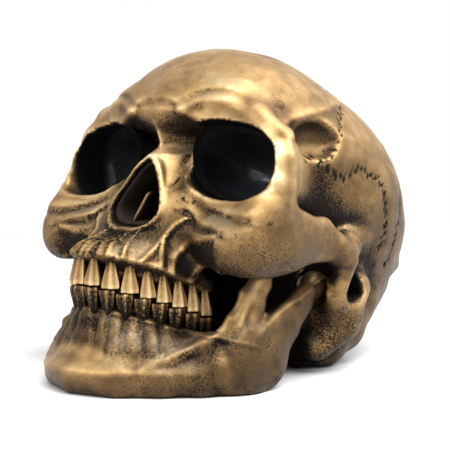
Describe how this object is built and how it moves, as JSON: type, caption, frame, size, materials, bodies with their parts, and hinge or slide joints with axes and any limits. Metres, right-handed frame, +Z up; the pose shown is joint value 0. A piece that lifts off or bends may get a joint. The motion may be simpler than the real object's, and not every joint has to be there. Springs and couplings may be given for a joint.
{
  "type": "skull decoration",
  "caption": "Life-size antique-bronze skull decoration: cast cranium on a flat foot, separate teeth, black eye-socket liners and a lower jaw that opens on hinge pins.",
  "frame": {"origin": "middle of the object's footprint, on the surface that it stands on", "axes": "+Z up, the face looks along -Y, the skull's own left is +X"},
  "size_m": [0.1534, 0.2108, 0.1555],
  "materials": {
    "bronze_skull": "cast resin painted antique bronze, rubbed bright on the high places and dark in the hollows",
    "bronze_jaw": "cast resin painted antique bronze, rubbed bright on the high places and dark in the hollows",
    "bronze_teeth": "cast resin painted pale antique bronze, rubbed at the ridges",
    "socket_black": "gloss black",
    "nose_dark": "dark umber wash",
    "pin_steel": "plain steel",
    "bush_nylon": "natural nylon"
  },
  "bodies": {
    "cranium": {"cranium": "bronze_skull", "left_eye_socket_liner": "socket_black", "right_eye_socket_liner": "socket_black", "nasal_cavity_liner": "nose_dark", "nasal_septum": "bronze_skull", "upper_tooth_left_1": "bronze_teeth", "upper_tooth_right_1": "bronze_teeth", "upper_tooth_left_2": "bronze_teeth", "upper_tooth_right_2": "bronze_teeth", "upper_tooth_left_3": "bronze_teeth", "upper_tooth_right_3": "bronze_teeth", "upper_tooth_left_4": "bronze_teeth", "upper_tooth_right_4": "bronze_teeth", "upper_tooth_left_5": "bronze_teeth", "upper_tooth_right_5": "bronze_teeth", "upper_tooth_left_6": "bronze_teeth", "upper_tooth_right_6": "bronze_teeth", "upper_tooth_left_7": "bronze_teeth", "upper_tooth_right_7": "bronze_teeth", "upper_tooth_left_8": "bronze_teeth", "upper_tooth_right_8": "bronze_teeth", "left_jaw_hinge_pin": "pin_steel", "right_jaw_hinge_pin": "pin_steel", "left_jaw_hinge_bush": "bush_nylon", "right_jaw_hinge_bush": "bush_nylon"},
    "jaw": {"lower_jaw": "bronze_jaw", "lower_tooth_left_1": "bronze_teeth", "lower_tooth_right_1": "bronze_teeth", "lower_tooth_left_2": "bronze_teeth", "lower_tooth_right_2": "bronze_teeth", "lower_tooth_left_3": "bronze_teeth", "lower_tooth_right_3": "bronze_teeth", "lower_tooth_left_4": "bronze_teeth", "lower_tooth_right_4": "bronze_teeth", "lower_tooth_left_5": "bronze_teeth", "lower_tooth_right_5": "bronze_teeth", "lower_tooth_left_6": "bronze_teeth", "lower_tooth_right_6": "bronze_teeth", "lower_tooth_left_7": "bronze_teeth", "lower_tooth_right_7": "bronze_teeth", "lower_tooth_left_8": "bronze_teeth", "lower_tooth_right_8": "bronze_teeth"}
  },
  "joints": [
    {"name": "jaw_hinge", "type": "hinge", "parent": "cranium", "child": "jaw", "pos_m": [0, 0.00204, 0.04349], "axis": [1, 0, 0], "range_deg": [0, 22]}
  ]
}
